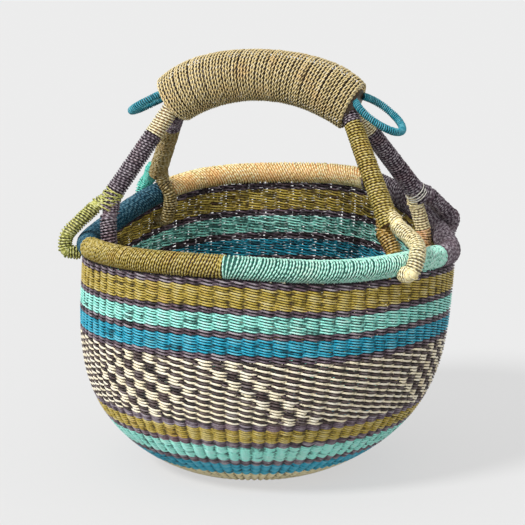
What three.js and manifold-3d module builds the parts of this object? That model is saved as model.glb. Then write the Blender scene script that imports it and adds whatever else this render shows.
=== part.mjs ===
// A round market basket of twined grass with a wrapped rim and a four-legged wrapped handle.
// Millimetres, +Z up. The origin is the centre of the flat underside. The front is -Y, the right is +X.
import * as THREE from 'three';
import { mergeVertices } from 'three/addons/utils/BufferGeometryUtils.js';
import Module from 'manifold-3d';

const wasm = await Module();
wasm.setup();

// Driving dimensions of the woven body
const baseRadius = 75;
const wallRadius = 197;
const wallThickness = 6;
const bellyFullness = 3.63;
const bellySoftness = 1.28;
const leanAtTop = 15.1;
const seatGap = 0.3;
const profileStep = 18;
const baseTurnUp = [0.12, 0.4, 1];

// Depth of each woven band, from the lowest up
const baseDepth = 19.5;
const lowBlueDepth = 16.1;
const lowMintDepth = 18.9;
const lowOliveDepth = 15.1;
const patternDepth = 69.8;
const highBlueDepth = 17.2;
const highMintDepth = 17.3;
const highOliveDepth = 20.9;
const purpleDepth = 6.7;
const topPurpleDepth = 6.6;

// Rise and fall of the hand-made rim: cosine and sine part of each wave round it, from one wave to five
const riseWaves = [[-0.2, 16.5], [-14.7, 4], [-1.1, -2.5], [-3.1, -0.1], [-1.5, -2]];

// Wrapped rim
const rimTubeRadius = 12;
const rimWrapDepth = 3.6;
const rimInset = 6.5;
const rimSides = 10;
const rimStep = 12;
const oliveRimStart = 196;
const mintRimStart = 257;
const purpleRimStart = 334.5;
const tanRimStart = 414.5;
const blueRimStart = 489;

// Grip
const gripRise = 162;
const gripArchRadius = 160;
const gripHalfAngle = 37.9;
const gripTilt = 0.1;
const gripTurn = -17;
const gripShift = 8.6;
const gripHeightMiddle = 55;
const gripHeightEnd = 48;
const gripShoulder = 6.5;
const gripLeanRight = 15;
const gripWidth = 54;
const gripStations = 12;
const gripSides = 16;

// Cord wound round the grip
const gripCordDiameter = 6.6;
const gripCordLoops = 24;
const gripCordSteps = 18;
const gripCordSides = 5;
const gripCordSeat = 0.3;
const gripCordMargin = 4;

// Arches that run through the grip, and the sleeves wrapped round their legs
const archRadius = 6.5;
const archSpacing = 22.4;
const archDrop = 3;
const archBend = 7;
const archSides = 10;
const sleeveTopRadius = 9.6;
const sleeveSides = 14;

// Legs: foot angle on the rim, split point (height above the rim line, distance in from it, offset
// along it), radius of the sleeve at the split
const legA = { angle: 183, inward: 16.0, above: 35.6, along: -6.0, endRadius: 10.6 };
const legB = { angle: 132, inward: 11.0, above: 28.0, along: 6.0, endRadius: 10.4 };
const legC = { angle: -40, inward: 29.5, above: 31.1, along: -2.0, endRadius: 11.6 };
const legD = { angle: 12, inward: 24.5, above: 42.3, along: -4.4, endRadius: 10.8 };

// The two limbs that each leg splits into, one over the outside of the rim and one down its inside:
// radius and drift along the rim. The outer one stands off the rim and is tucked below it, 1 being right
// under. The inner one droops below it in the same way.
const limbsA = {
  outer: { radius: 7.8, drift: 4, standOff: 3, tuck: 0.5 },
  inner: { radius: 9.2, drift: 0, droop: 1 },
};
const limbsB = {
  outer: { radius: 7.8, drift: 2, standOff: 0, tuck: 1 },
  inner: { radius: 7.8, drift: -6, droop: 1.5 },
};
const limbsC = {
  outer: { radius: 8.6, drift: -28, standOff: 0, tuck: 0.4 },
  inner: { radius: 8.6, drift: -12, droop: 1 },
};
const limbsD = {
  outer: { radius: 8.8, drift: 30, standOff: 0, tuck: 1 },
  inner: { radius: 8.4, drift: -4, droop: 1 },
};

// Lengths of the coloured sleeves from the top of each leg
const creamLengthA = 34;
const lashingLength = 24;
const purpleLengthB = 41;
const purpleLengthC = 11;
const creamLengthD = 29;

// White thread tied round leg D
const tieDiameter = 1.6;
const tieLoops = 3;
const tieSides = 4;
const tiePitch = 3.2;
const tieFromSplit = 5;

// Hanging loops at the ends of the grip
const loopTubeRadius = 4.25;
const loopHalfWidth = 25;
const loopOpenAngle = 150;
const loopLift = 14;
const loopLeft = { reach: 22.5, twist: 0, raise: 9 };
const loopRight = { reach: 29.5, twist: -7, raise: -12.4 };
const loopStations = 16;

// Limbs
const limbClearance = 1.1;
const limbSides = 8;
const wallRoomDepth = 40;

const degree = Math.PI / 180;

const straw = { cream: 0xdccda0, olive: 0x8c7d28, mint: 0x6ebea5, blue: 0x1e7d9b, purple: 0x55484f };
const tints = { tan: 0xe1b978, lime: 0xb4b450, turquoise: 0x38b0a0, teal: 0x2896aa, white: 0xf0ead8 };
const coreTint = 0xb9a878;

const basket = new THREE.Group();

function addPiece(name, geometry, color) {
  const material = new THREE.MeshStandardMaterial({ color, roughness: 0.85, metalness: 0 });
  const mesh = new THREE.Mesh(geometry, material);
  mesh.name = name;
  basket.add(mesh);
  return mesh;
}

// The woven bands from the bottom up
const bands = [
  ['base_weave', straw.cream, baseDepth],
  ['low_blue_band', straw.blue, lowBlueDepth],
  ['low_purple_line_1', straw.purple, purpleDepth],
  ['low_mint_band', straw.mint, lowMintDepth],
  ['low_purple_line_2', straw.purple, purpleDepth],
  ['low_olive_band', straw.olive, lowOliveDepth],
  ['low_purple_line_3', straw.purple, purpleDepth],
  ['pattern_band', straw.cream, patternDepth],
  ['high_purple_line_1', straw.purple, purpleDepth],
  ['high_blue_band', straw.blue, highBlueDepth],
  ['high_purple_line_2', straw.purple, purpleDepth],
  ['high_mint_band', straw.mint, highMintDepth],
  ['high_purple_line_3', straw.purple, purpleDepth],
  ['high_olive_band', straw.olive, highOliveDepth],
  ['top_purple_line', straw.purple, topPurpleDepth],
];
const wallHeight = bands.reduce((sum, band) => sum + band[2], 0);
const rimRadius = wallRadius - rimInset;

// Height added at an angle round the wall, for the full height
function rise(angle) {
  return riseWaves.reduce((height, [cosine, sine], i) => {
    return height + cosine * Math.cos((i + 1) * angle) + sine * Math.sin((i + 1) * angle);
  }, 0);
}

function wallRadiusAt(z) {
  const left = Math.max(0, 1 - z / wallHeight);
  return baseRadius + (wallRadius - baseRadius) * (1 - left ** bellyFullness) ** (1 / bellySoftness);
}

// Reach over which the wall's slope is taken, and the slope that stands for a flat face
const slopeReach = 0.96;
const flatSlope = 1e6;

// A point of the wall: height, angle and depth measured in from the outer face
function wallPoint(z, angle, depth) {
  const low = Math.max(0, z - slopeReach);
  const high = Math.min(wallHeight, z + slopeReach);
  const slope = z > 0 ? (wallRadiusAt(high) - wallRadiusAt(low)) / (high - low) : flatSlope;
  const length = Math.hypot(1, slope);
  const radius = wallRadiusAt(z) - depth / length;
  const lean = leanAtTop * z / wallHeight;
  const lift = rise(angle) * z / wallHeight;
  return new THREE.Vector3(
    lean + radius * Math.cos(angle),
    radius * Math.sin(angle),
    z + lift + depth * slope / length,
  );
}

function rimPoint(angle, outward = 0, up = 0) {
  const radius = rimRadius + outward;
  const height = wallHeight + seatGap + rimTubeRadius + rise(angle);
  return new THREE.Vector3(leanAtTop + radius * Math.cos(angle), radius * Math.sin(angle), height + up);
}

// Rim colours: name, colour, start and end angle
const rimWraps = [
  ['rim_wrap_olive', straw.olive, oliveRimStart, mintRimStart],
  ['rim_wrap_mint', straw.mint, mintRimStart, purpleRimStart],
  ['rim_wrap_purple', straw.purple, purpleRimStart, tanRimStart],
  ['rim_wrap_tan', tints.tan, tanRimStart, blueRimStart],
  ['rim_wrap_blue', straw.blue, blueRimStart, oliveRimStart + 360],
];

function anglesBetween(start, end) {
  const count = Math.max(1, Math.ceil((end - start) / rimStep));
  return Array.from({ length: count + 1 }, (_, i) => (start + (end - start) * i / count) * degree);
}

const ringAngles = rimWraps.flatMap(([, , start, end]) => anglesBetween(start, end).slice(0, -1));

// A solid over rows of points: each row closes on itself, and the rows form a loop or are capped
function gridGeometry(rows, closedAlong = false) {
  const sides = rows[0].length;
  const positions = rows.flat().flatMap((point) => [point.x, point.y, point.z]);
  const index = [];
  const last = closedAlong ? rows.length : rows.length - 1;
  for (let i = 0; i < last; i += 1) {
    const next = (i + 1) % rows.length;
    for (let j = 0; j < sides; j += 1) {
      const k = (j + 1) % sides;
      index.push(i * sides + j, i * sides + k, next * sides + k);
      index.push(i * sides + j, next * sides + k, next * sides + j);
    }
  }
  if (!closedAlong) {
    for (const [row, flip] of [[0, true], [rows.length - 1, false]]) {
      for (let j = 1; j < sides - 1; j += 1) {
        const corners = [row * sides, row * sides + j, row * sides + j + 1];
        index.push(...(flip ? corners.reverse() : corners));
      }
    }
  }
  const geometry = new THREE.BufferGeometry();
  geometry.setAttribute('position', new THREE.Float32BufferAttribute(positions, 3));
  geometry.setIndex(index);
  return facingOut(geometry);
}

function signedVolume(geometry) {
  const place = geometry.attributes.position;
  const index = geometry.index.array;
  const corner = [new THREE.Vector3(), new THREE.Vector3(), new THREE.Vector3()];
  let volume = 0;
  for (let i = 0; i < index.length; i += 3) {
    corner.forEach((point, j) => point.fromBufferAttribute(place, index[i + j]));
    volume += corner[0].dot(corner[1].clone().cross(corner[2])) / 6;
  }
  return volume;
}

function facingOut(geometry) {
  if (signedVolume(geometry) < 0) {
    const index = geometry.index.array;
    for (let i = 0; i < index.length; i += 3) {
      [index[i], index[i + 1]] = [index[i + 1], index[i]];
    }
  }
  geometry.computeVertexNormals();
  return geometry;
}

// Solids that are cut or joined
function toSolid(geometry) {
  const plain = geometry.clone();
  plain.deleteAttribute('normal');
  plain.deleteAttribute('uv');
  const merged = mergeVertices(plain, 1e-4);
  return new wasm.Manifold(new wasm.Mesh({
    numProp: 3,
    vertProperties: new Float32Array(merged.attributes.position.array),
    triVerts: new Uint32Array(merged.index.array),
  }));
}

function toGeometry(solid) {
  const mesh = solid.getMesh();
  const geometry = new THREE.BufferGeometry();
  geometry.setAttribute('position', new THREE.BufferAttribute(new Float32Array(mesh.vertProperties), 3));
  geometry.setIndex(new THREE.BufferAttribute(new Uint32Array(mesh.triVerts), 1));
  geometry.computeVertexNormals();
  return geometry;
}

// Woven bands
function bandGeometry(low, high, levels) {
  const heights = Array.from({ length: levels + 1 }, (_, i) => low + (high - low) * i / levels);
  const rows = ringAngles.map((angle) => [
    ...heights.map((z) => wallPoint(z, angle, 0)),
    ...heights.toReversed().map((z) => wallPoint(z, angle, wallThickness)),
  ]);
  return gridGeometry(rows, true);
}

// The dished base: a flat disc that turns up into the wall
function baseGeometry(high) {
  const heights = [0, ...baseTurnUp.map((share) => high * share)];
  const positions = [0, 0, 0, 0, 0, wallThickness];
  const columns = heights.length * 2;
  for (const angle of ringAngles) {
    const outer = heights.map((z) => wallPoint(z, angle, 0));
    const inner = heights.map((z) => wallPoint(z, angle, wallThickness)).reverse();
    [...outer, ...inner].forEach((point) => positions.push(point.x, point.y, point.z));
  }
  const index = [];
  const at = (ring, column) => 2 + (ring % ringAngles.length) * columns + column;
  for (let i = 0; i < ringAngles.length; i += 1) {
    index.push(0, at(i + 1, 0), at(i, 0));
    index.push(1, at(i, columns - 1), at(i + 1, columns - 1));
    for (let j = 0; j < columns - 1; j += 1) {
      index.push(at(i, j), at(i + 1, j), at(i + 1, j + 1));
      index.push(at(i, j), at(i + 1, j + 1), at(i, j + 1));
    }
  }
  const geometry = new THREE.BufferGeometry();
  geometry.setAttribute('position', new THREE.Float32BufferAttribute(positions, 3));
  geometry.setIndex(index);
  return facingOut(geometry);
}

let bandFloor = 0;
for (const [name, color, depth] of bands) {
  const low = bandFloor + (bandFloor > 0 ? seatGap / 2 : 0);
  const high = bandFloor + depth - seatGap / 2;
  const levels = Math.max(1, Math.round(depth / profileStep));
  addPiece(name, bandFloor > 0 ? bandGeometry(low, high, levels) : baseGeometry(high), color);
  bandFloor += depth;
}

// Rim core and its wrapped colours
function rimRing(angle, radius) {
  return Array.from({ length: rimSides }, (_, j) => {
    const turn = 2 * Math.PI * (j + 0.5) / rimSides;
    return rimPoint(angle, radius * Math.cos(turn), radius * Math.sin(turn));
  });
}

const rimCoreRadius = rimTubeRadius - rimWrapDepth - seatGap;
const rimRows = ringAngles.map((angle) => rimRing(angle, rimCoreRadius));
addPiece('rim_core', gridGeometry(rimRows, true), coreTint);

// A hollow piece: outer rows joined to inner rows at both ends
function hollowGeometry(outerRows, innerRows) {
  const sides = outerRows[0].length;
  const count = outerRows.length;
  const positions = [...outerRows.flat(), ...innerRows.flat()].flatMap((p) => [p.x, p.y, p.z]);
  const index = [];
  const inner = count * sides;
  const quad = (a, b, c, d) => index.push(a, b, c, a, c, d);
  for (let j = 0; j < sides; j += 1) {
    const k = (j + 1) % sides;
    for (let i = 0; i < count - 1; i += 1) {
      const next = i + 1;
      quad(i * sides + j, i * sides + k, next * sides + k, next * sides + j);
      quad(inner + i * sides + k, inner + i * sides + j, inner + next * sides + j, inner + next * sides + k);
    }
    const end = (count - 1) * sides;
    quad(inner + j, inner + k, k, j);
    quad(end + j, end + k, inner + end + k, inner + end + j);
  }
  const geometry = new THREE.BufferGeometry();
  geometry.setAttribute('position', new THREE.Float32BufferAttribute(positions, 3));
  geometry.setIndex(index);
  return facingOut(geometry);
}

for (const [name, color, start, end] of rimWraps) {
  const angles = anglesBetween(start, end);
  const rowsOf = (radius) => {
    const rings = angles.map((angle) => rimRing(angle, radius));
    const shift = (ring, toward) => ring.map((point, j) => {
      const step = toward[j].clone().sub(point);
      return point.clone().add(step.setLength(seatGap / 2));
    });
    const first = shift(rings[0], rings[1]);
    const last = shift(rings.at(-1), rings.at(-2));
    return [first, ...rings.slice(1, -1), last];
  };
  addPiece(name, hollowGeometry(rowsOf(rimTubeRadius), rowsOf(rimCoreRadius + seatGap)), color);
}

// The grip's centre line is an arc in an upright plane turned about Z
const gripAlong = new THREE.Vector3(Math.cos(gripTurn * degree), Math.sin(gripTurn * degree), 0);
const gripSide = new THREE.Vector3(-gripAlong.y, gripAlong.x, 0);
const meanRimHeight = wallHeight + seatGap + rimTubeRadius;
const gripTop = new THREE.Vector3(gripShift, 0, meanRimHeight + gripRise);
const archCentre = gripTop.clone().add(new THREE.Vector3(0, 0, -gripArchRadius));

function gripRadial(angle) {
  return gripAlong.clone().multiplyScalar(Math.sin(angle)).add(new THREE.Vector3(0, 0, Math.cos(angle)));
}

// A frame on the grip: turn is -1 at the left end, 0 at the top and 1 at the right end, which leans back
function gripFrame(turn) {
  const angle = (turn * gripHalfAngle + gripTilt) * degree;
  const lean = gripLeanRight * Math.max(turn, 0) ** 3 * degree;
  const point = archCentre.clone().addScaledVector(gripRadial(angle), gripArchRadius);
  const up = gripRadial(angle - lean);
  const forward = new THREE.Vector3().crossVectors(gripSide, up);
  const square = turn * turn;
  const below = (gripHeightMiddle + (gripHeightEnd - gripHeightMiddle) * square) / 2;
  const above = below + gripShoulder * square * (3 - 2 * square);
  return { point, up, side: gripSide, forward, above, below, halfWidth: gripWidth / 2 };
}

function gripPoint(frame, turn, depth) {
  const height = (Math.cos(turn) > 0 ? frame.above : frame.below) - depth;
  const width = frame.halfWidth - depth;
  return frame.point.clone()
    .addScaledVector(frame.up, height * Math.cos(turn))
    .addScaledVector(frame.side, width * Math.sin(turn));
}

// Bundle of the grip under its cord, before the arches are cut through it
const paddingDepth = gripCordDiameter + gripCordSeat;
const paddingRows = Array.from({ length: gripStations + 1 }, (_, i) => {
  const frame = gripFrame(-1 + 2 * i / gripStations);
  const turns = Array.from({ length: gripSides }, (_, j) => 2 * Math.PI * j / gripSides);
  return turns.map((turn) => gripPoint(frame, turn, paddingDepth));
});

// A route that passes straight from point to point
class Route extends THREE.Curve {
  constructor(points) {
    super();
    this.points = points;
  }

  getPoint(t, target = new THREE.Vector3()) {
    const place = Math.min(Math.max(t, 0), 1) * (this.points.length - 1);
    const first = Math.min(Math.floor(place), this.points.length - 2);
    return target.lerpVectors(this.points[first], this.points[first + 1], place - first);
  }

  getUtoTmapping(u) {
    return u;
  }
}

function rodGeometry(points, radius, sides) {
  const outline = Array.from({ length: sides }, (_, j) => {
    const turn = 2 * Math.PI * j / sides;
    return new THREE.Vector2(radius * Math.cos(turn), radius * Math.sin(turn));
  });
  const shape = new THREE.Shape(outline);
  return new THREE.ExtrudeGeometry(shape, { steps: points.length - 1, extrudePath: new Route(points) });
}

// Legs: from the end of the grip down to the split above the rim
const legs = {
  A: { ...legA, limbs: limbsA, end: -1, near: -1 },
  B: { ...legB, limbs: limbsB, end: -1, near: 1 },
  C: { ...legC, limbs: limbsC, end: 1, near: -1 },
  D: { ...legD, limbs: limbsD, end: 1, near: 1 },
};

function splitPoint(leg) {
  const angle = leg.angle * degree + leg.along / rimRadius;
  return rimPoint(angle, -leg.inward, leg.above);
}

function archPoint(turn, near) {
  const frame = gripFrame(turn);
  return frame.point.clone()
    .addScaledVector(frame.up, -archDrop)
    .addScaledVector(frame.side, near * archSpacing / 2);
}

for (const leg of Object.values(legs)) {
  leg.split = splitPoint(leg);
  leg.exit = archPoint(leg.end, leg.near);
  leg.down = leg.split.clone().sub(leg.exit).normalize();
  leg.length = leg.split.distanceTo(leg.exit);
  leg.outward = new THREE.Vector3(Math.cos(leg.angle * degree), Math.sin(leg.angle * degree), 0);
}

// Stations of an arch: up one leg, through the grip, down the other
function archStations(left, right) {
  const bendTurn = archBend / (gripArchRadius * gripHalfAngle * degree);
  const corner = (leg) => {
    const onLeg = leg.exit.clone().addScaledVector(leg.down, archBend);
    const onArch = archPoint(leg.end * (1 - bendTurn), leg.near);
    const middle = leg.exit.clone().multiplyScalar(2).add(onLeg).add(onArch).divideScalar(4);
    return [onLeg, middle];
  };
  const inside = Array.from({ length: gripStations / 2 + 1 }, (_, i) => {
    const turn = (1 - bendTurn) * (-1 + 4 * i / gripStations);
    return archPoint(turn, left.near);
  });
  return [left.split, ...corner(left), ...inside, ...corner(right).reverse(), right.split];
}

const arches = {
  front: archStations(legs.A, legs.C),
  back: archStations(legs.B, legs.D),
};
const archRoom = {};
let padding = toSolid(gridGeometry(paddingRows));
for (const [place, stations] of Object.entries(arches)) {
  addPiece(`${place}_arch`, rodGeometry(stations, archRadius, archSides), coreTint);
  archRoom[place] = toSolid(rodGeometry(stations, archRadius + seatGap, archSides));
  padding = padding.subtract(archRoom[place]);
}
addPiece('grip_padding', toGeometry(padding), coreTint);

// A cord wound in one unbroken tube. centreAt gives its centre line and the way out from the piece it is on.
function windingGeometry(centreAt, loops, stepsPerLoop, sides, diameter, label) {
  const count = Math.round(loops * stepsPerLoop);
  const samples = Array.from({ length: count + 1 }, (_, i) => centreAt(i / stepsPerLoop));
  const tangentOf = (i) => {
    const before = samples[Math.max(0, i - 1)].point;
    const after = samples[Math.min(count, i + 1)].point;
    return after.clone().sub(before).normalize();
  };
  const stations = samples.map(({ point, out }, i) => ({ point, out, tangent: tangentOf(i) }));
  const first = stations[0];
  const last = stations.at(-1);
  stations.unshift({ ...first, point: first.point.clone().addScaledVector(first.tangent, -diameter) });
  stations.push({ ...last, point: last.point.clone().addScaledVector(last.tangent, diameter) });
  const rows = stations.map(({ point, out, tangent }) => {
    const outer = out.clone().addScaledVector(tangent, -out.dot(tangent)).normalize();
    const across = new THREE.Vector3().crossVectors(tangent, outer);
    return Array.from({ length: sides }, (_, j) => {
      const turn = 2 * Math.PI * j / sides;
      return point.clone()
        .addScaledVector(outer, diameter / 2 * Math.cos(turn))
        .addScaledVector(across, diameter / 2 * Math.sin(turn));
    });
  });
  let gap = Infinity;
  for (let i = 0; i < stations.length; i += 1) {
    for (let j = i + Math.ceil(stepsPerLoop / 2); j < stations.length; j += 1) {
      gap = Math.min(gap, stations[i].point.distanceTo(stations[j].point) - diameter);
    }
  }
  console.log(`${label}: least gap to itself ${gap.toFixed(2)} mm`);
  return gridGeometry(rows);
}

// The grip's cord, its first and last loops inside the ends of the padding
const gripCordEdge = gripCordMargin / (gripArchRadius * gripHalfAngle * degree);
function gripCordAt(loop) {
  const turn = (1 - gripCordEdge) * (-1 + 2 * loop / gripCordLoops);
  const frame = gripFrame(turn);
  const point = gripPoint(frame, 2 * Math.PI * loop, gripCordDiameter / 2);
  return { point, out: point.clone().sub(frame.point) };
}
const gripCord = windingGeometry(
  gripCordAt, gripCordLoops, gripCordSteps, gripCordSides, gripCordDiameter, 'grip_cord');
addPiece('grip_cord', gripCord, straw.cream);

// Everything behind the end face of the grip, with its clearance
function behindGripEnd(end) {
  const frame = gripFrame(end);
  const depth = 2 * gripWidth;
  const block = new THREE.BoxGeometry(2 * gripWidth, 2 * gripHeightMiddle, depth);
  const out = frame.forward.clone().multiplyScalar(end);
  const turn = new THREE.Quaternion().setFromUnitVectors(new THREE.Vector3(0, 0, 1), out);
  const middle = frame.point.clone().addScaledVector(out, seatGap - depth / 2);
  block.applyMatrix4(new THREE.Matrix4().compose(middle, turn, new THREE.Vector3(1, 1, 1)));
  return toSolid(block);
}
const gripBlocks = { '-1': behindGripEnd(-1), 1: behindGripEnd(1) };

// A wrapped sleeve on a leg, between two distances from the top of the leg
function addSleeve(name, leg, arch, from, to, color) {
  const radiusAt = (distance) => sleeveTopRadius + (leg.endRadius - sleeveTopRadius) * distance / leg.length;
  const low = from > 0 ? from + seatGap / 2 : -sleeveTopRadius;
  const high = to - seatGap / 2;
  const profile = [[0, low], [radiusAt(low), low], [radiusAt(high), high], [0, high]];
  const lathe = new THREE.LatheGeometry(profile.map(([r, y]) => new THREE.Vector2(r, y)), sleeveSides);
  const turn = new THREE.Quaternion().setFromUnitVectors(new THREE.Vector3(0, 1, 0), leg.down);
  lathe.applyMatrix4(new THREE.Matrix4().compose(leg.exit, turn, new THREE.Vector3(1, 1, 1)));
  let sleeve = toSolid(lathe).subtract(archRoom[arch]);
  if (from <= 0) {
    sleeve = sleeve.subtract(gripBlocks[leg.end]);
  }
  addPiece(name, toGeometry(sleeve), color);
}

addSleeve('leg_a_cream_wrap', legs.A, 'front', 0, creamLengthA, straw.cream);
addSleeve('leg_a_purple_wrap', legs.A, 'front', creamLengthA, legs.A.length - lashingLength, straw.purple);
addSleeve('leg_a_lime_lashing', legs.A, 'front', legs.A.length - lashingLength, legs.A.length, tints.lime);
addSleeve('leg_b_purple_wrap', legs.B, 'back', 0, purpleLengthB, straw.purple);
addSleeve('leg_b_olive_wrap', legs.B, 'back', purpleLengthB, legs.B.length, straw.olive);
addSleeve('leg_c_purple_wrap', legs.C, 'front', 0, purpleLengthC, straw.purple);
addSleeve('leg_c_olive_wrap', legs.C, 'front', purpleLengthC, legs.C.length, straw.olive);
addSleeve('leg_d_cream_wrap', legs.D, 'back', 0, creamLengthD, straw.cream);
addSleeve('leg_d_purple_wrap', legs.D, 'back', creamLengthD, legs.D.length, straw.purple);

// White thread round leg D
const tieAcross = new THREE.Vector3().crossVectors(legs.D.down, new THREE.Vector3(0, 0, 1)).normalize();
const tieUp = new THREE.Vector3().crossVectors(tieAcross, legs.D.down);
const tieSagitta = legD.endRadius * (1 - Math.cos(Math.PI / gripCordSteps));
function tieAt(loop) {
  const distance = legs.D.length - tieFromSplit - (tieLoops - loop) * tiePitch;
  const axis = legs.D.exit.clone().addScaledVector(legs.D.down, distance);
  const radius = legD.endRadius + seatGap + tieSagitta + tieDiameter / 2;
  const out = tieAcross.clone().multiplyScalar(Math.cos(2 * Math.PI * loop))
    .addScaledVector(tieUp, Math.sin(2 * Math.PI * loop));
  return { point: axis.addScaledVector(out, radius), out };
}
const tie = windingGeometry(tieAt, tieLoops, gripCordSteps, tieSides, tieDiameter, 'leg_d_white_tie');
addPiece('leg_d_white_tie', tie, tints.white);

// Limbs: each leg opens into one limb inside the rim and one over its outside.
// A route is a list of [along the rim, outward, up] from the foot's point on the rim line.
function limbPoints(leg, side, radius, route) {
  const apart = radius + 2 * seatGap;
  const across = leg.outward.clone().addScaledVector(leg.down, -leg.outward.dot(leg.down)).normalize();
  const start = leg.split.clone().addScaledVector(across, side * apart).addScaledVector(leg.down, seatGap);
  const lead = start.clone().addScaledVector(leg.down, radius / 2);
  const rest = route.map(([along, outward, up]) => {
    return rimPoint(leg.angle * degree + along / rimRadius, outward, up);
  });
  const curve = new THREE.CatmullRomCurve3([lead, ...rest], false, 'centripetal');
  const smooth = curve.getPoints(2 * rest.length);
  return [start, ...smooth];
}

// Room that the limbs leave for the wall and the rim
const wallRoom = toSolid(gridGeometry(ringAngles.map((angle) => [
  wallPoint(wallHeight - wallRoomDepth, angle, -seatGap),
  wallPoint(wallHeight, angle, -seatGap),
  wallPoint(wallHeight, angle, wallThickness + seatGap),
  wallPoint(wallHeight - wallRoomDepth, angle, wallThickness + seatGap),
]), true));
const rimRoomRows = ringAngles.map((angle) => rimRing(angle, rimTubeRadius + seatGap));
const limbRoom = wallRoom.add(toSolid(gridGeometry(rimRoomRows, true)));

function addLimb(name, points, radius, color) {
  const rod = toSolid(rodGeometry(points, radius, limbSides));
  addPiece(name, toGeometry(rod.subtract(limbRoom)), color);
}

// Routes of limbs that hug the rim and end in the wall below it, as steps along, out and up from the rim
const wallMiddle = rimInset - wallThickness / 2;
function addOuterLimb(name, leg, color) {
  const { radius, drift, standOff, tuck } = leg.limbs.outer;
  const hug = rimTubeRadius + limbClearance + radius + standOff;
  const under = (rimTubeRadius + limbClearance + radius) * tuck;
  const route = [
    [drift * 0.35, hug * 0.42, hug * 0.92],
    [drift * 0.7, hug * 0.9, hug * 0.42],
    [drift, hug, -hug * 0.2],
    [drift * 1.05, hug * 0.8, -under * 0.75],
    [drift * 1.05, wallMiddle + 2, -under],
  ];
  addLimb(name, limbPoints(leg, 1, radius, route), radius, color);
}

function addInnerLimb(name, leg, color) {
  const { radius, drift, droop } = leg.limbs.inner;
  const hug = rimTubeRadius + limbClearance + radius;
  const route = [
    [drift * 0.5, -hug * 0.98, hug * 0.3],
    [drift, -hug * 0.95, -hug * 0.35],
    [drift, -hug * 0.6, -hug * 0.85 * droop],
    [drift, wallMiddle, -hug * droop],
  ];
  addLimb(name, limbPoints(leg, -1, radius, route), radius, color);
}

addOuterLimb('leg_a_outer_limb', legs.A, tints.lime);
addInnerLimb('leg_a_inner_limb', legs.A, straw.purple);
addOuterLimb('leg_b_outer_limb', legs.B, tints.turquoise);
addInnerLimb('leg_b_inner_limb', legs.B, straw.olive);
addOuterLimb('leg_c_outer_limb', legs.C, straw.cream);
addInnerLimb('leg_c_inner_limb', legs.C, straw.olive);
addOuterLimb('leg_d_outer_limb', legs.D, straw.purple);
addInnerLimb('leg_d_inner_limb', legs.D, straw.cream);

// Hanging loops: an open oval of cord out of each end of the grip, above the legs
function addHangingLoop(name, end, { reach, twist, raise }) {
  const frame = gripFrame(end);
  const out = frame.forward.clone().multiplyScalar(end).applyAxisAngle(frame.side, -end * raise * degree);
  const across = frame.side.clone().applyAxisAngle(out, -end * twist * degree);
  const root = frame.point.clone().addScaledVector(frame.up, loopLift).addScaledVector(out, seatGap);
  const open = loopOpenAngle * degree;
  const middle = root.addScaledVector(out, -reach * Math.cos(open));
  const points = Array.from({ length: loopStations + 1 }, (_, i) => {
    const turn = open * (-1 + 2 * i / loopStations);
    return middle.clone()
      .addScaledVector(out, reach * Math.cos(turn))
      .addScaledVector(across, loopHalfWidth * Math.sin(turn));
  });
  const rod = toSolid(rodGeometry(points, loopTubeRadius, limbSides));
  addPiece(name, toGeometry(rod.subtract(gripBlocks[end])), tints.teal);
}

addHangingLoop('left_hanging_loop', -1, loopLeft);
addHangingLoop('right_hanging_loop', 1, loopRight);

export default basket;
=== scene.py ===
# A round market basket of twined straw with a wrapped rim and a four-legged wrapped handle.
# Shapes are worked out in millimetres in the model's own frame and turned into metres when a mesh is made.
import math

import bpy
import numpy as np
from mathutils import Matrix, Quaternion, Vector


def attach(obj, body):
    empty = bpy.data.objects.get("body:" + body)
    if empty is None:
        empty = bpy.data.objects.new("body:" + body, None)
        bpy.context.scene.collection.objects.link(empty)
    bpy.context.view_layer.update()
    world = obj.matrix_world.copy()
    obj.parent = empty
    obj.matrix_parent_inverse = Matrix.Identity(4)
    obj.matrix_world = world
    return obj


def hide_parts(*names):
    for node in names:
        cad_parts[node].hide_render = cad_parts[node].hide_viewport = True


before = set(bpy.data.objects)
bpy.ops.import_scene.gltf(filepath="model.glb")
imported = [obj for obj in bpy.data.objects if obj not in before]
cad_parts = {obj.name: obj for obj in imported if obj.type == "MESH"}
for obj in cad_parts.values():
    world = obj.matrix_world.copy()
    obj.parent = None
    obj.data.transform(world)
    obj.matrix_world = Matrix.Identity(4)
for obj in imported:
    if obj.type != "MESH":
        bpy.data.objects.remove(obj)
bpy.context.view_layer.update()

MM = 0.001
rng = np.random.default_rng(7)

# Woven body, as in the model. Its top rises and falls in waves round it, with a cosine and a sine each
BASE_RADIUS = 75.0
WALL_RADIUS = 197.0
WALL_THICKNESS = 6.0
BELLY_FULLNESS = 3.63
BELLY_SOFTNESS = 1.28
LEAN_AT_TOP = 15.1
SEAT_GAP = 0.3
SLOPE_REACH = 0.96
SLOPE_LOWEST = 0.01
PURPLE_DEPTH = 6.7
RISE_WAVES = ((-0.2, 16.5), (-14.7, 4.0), (-1.1, -2.5), (-3.1, -0.1), (-1.5, -2.0))

# Bands from the bottom up: node, dye, depth
BANDS = [
    ("base_weave", "cream", 19.5),
    ("low_blue_band", "blue", 16.1),
    ("low_purple_line_1", "purple", PURPLE_DEPTH),
    ("low_mint_band", "mint", 18.9),
    ("low_purple_line_2", "purple", PURPLE_DEPTH),
    ("low_olive_band", "olive", 15.1),
    ("low_purple_line_3", "purple", PURPLE_DEPTH),
    ("pattern_band", "cream", 69.8),
    ("high_purple_line_1", "purple", PURPLE_DEPTH),
    ("high_blue_band", "blue", 17.2),
    ("high_purple_line_2", "purple", PURPLE_DEPTH),
    ("high_mint_band", "mint", 17.3),
    ("high_purple_line_3", "purple", PURPLE_DEPTH),
    ("high_olive_band", "olive", 20.9),
    ("top_purple_line", "purple", 6.6),
]
WALL_HEIGHT = sum(depth for _, _, depth in BANDS)

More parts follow.
